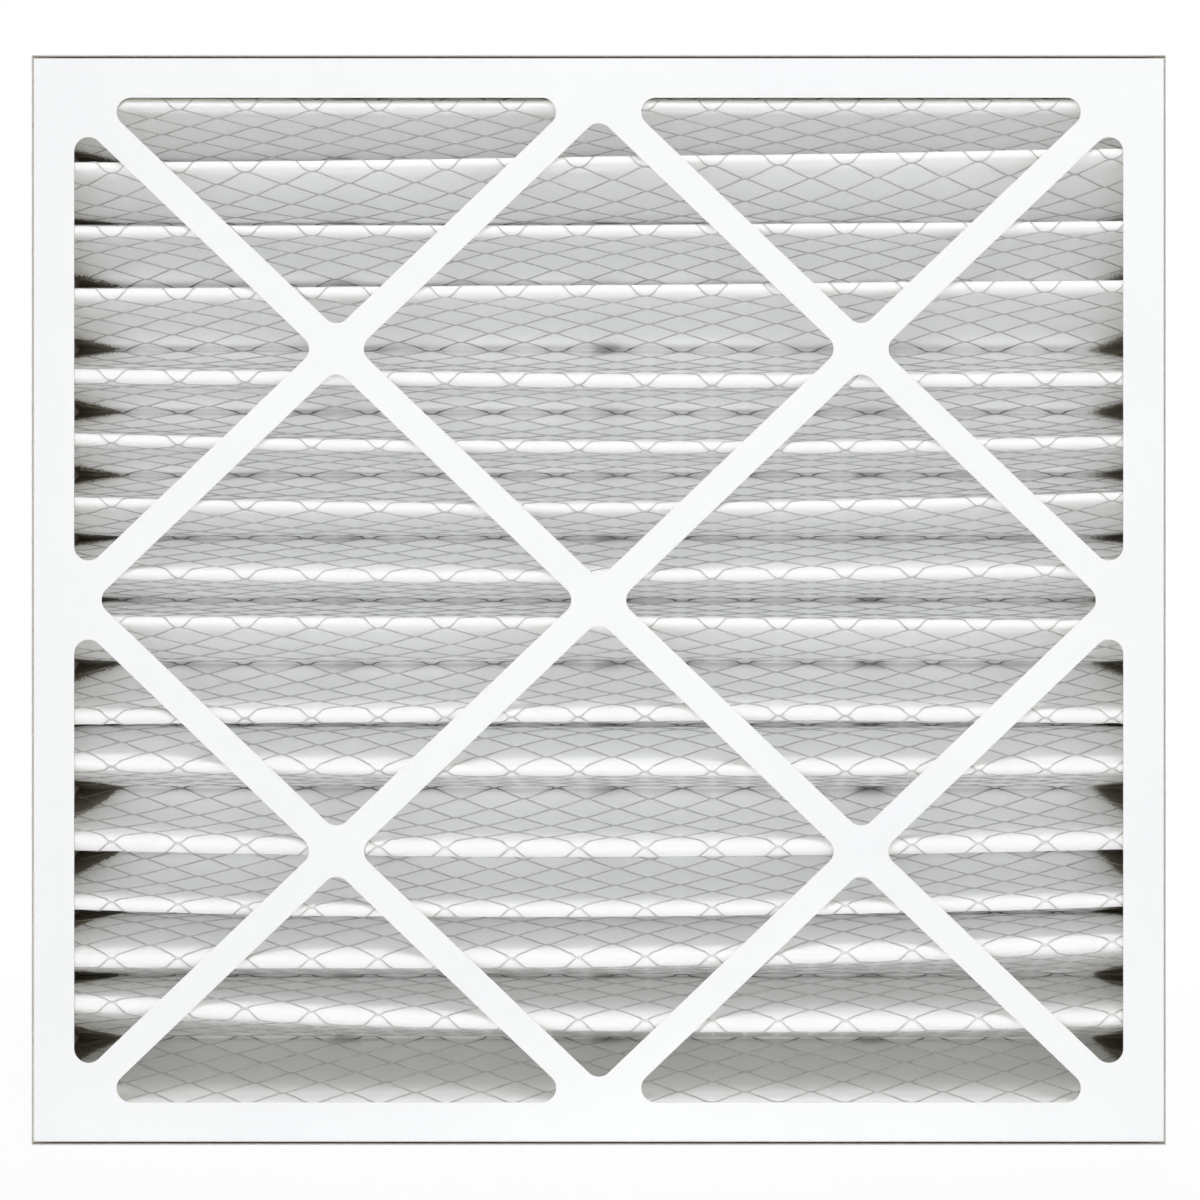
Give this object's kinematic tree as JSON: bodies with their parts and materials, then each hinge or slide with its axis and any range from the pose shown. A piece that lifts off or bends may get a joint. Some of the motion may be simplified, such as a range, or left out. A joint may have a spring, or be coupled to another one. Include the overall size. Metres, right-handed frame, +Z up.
{
  "type": "pleated panel air filter",
  "caption": "Deep pleated air filter panel: white nonwoven pleats backed with expanded metal, held between two board trays with a diagonal lattice.",
  "frame": {"origin": "middle of the bottom edge, on the surface that the filter stands on", "axes": "+X along the width to the right seen from the front lattice, +Y through the depth away from the front lattice, +Z up"},
  "size_m": [0.527, 0.1112, 0.5064],
  "materials": {
    "coated_board": "clay-coated white board, uncoated grey-brown on the inside",
    "filter_media": "matte white nonwoven",
    "expanded_metal": "galvanised expanded steel",
    "stay_paper": "matte paper strip"
  },
  "bodies": {
    "root": {"front_tray": "coated_board", "rear_tray": "coated_board", "pleated_media": "filter_media", "support_mesh": "expanded_metal", "stay_strip_1": "stay_paper", "stay_strip_2": "stay_paper", "stay_strip_3": "stay_paper"}
  },
  "joints": []
}
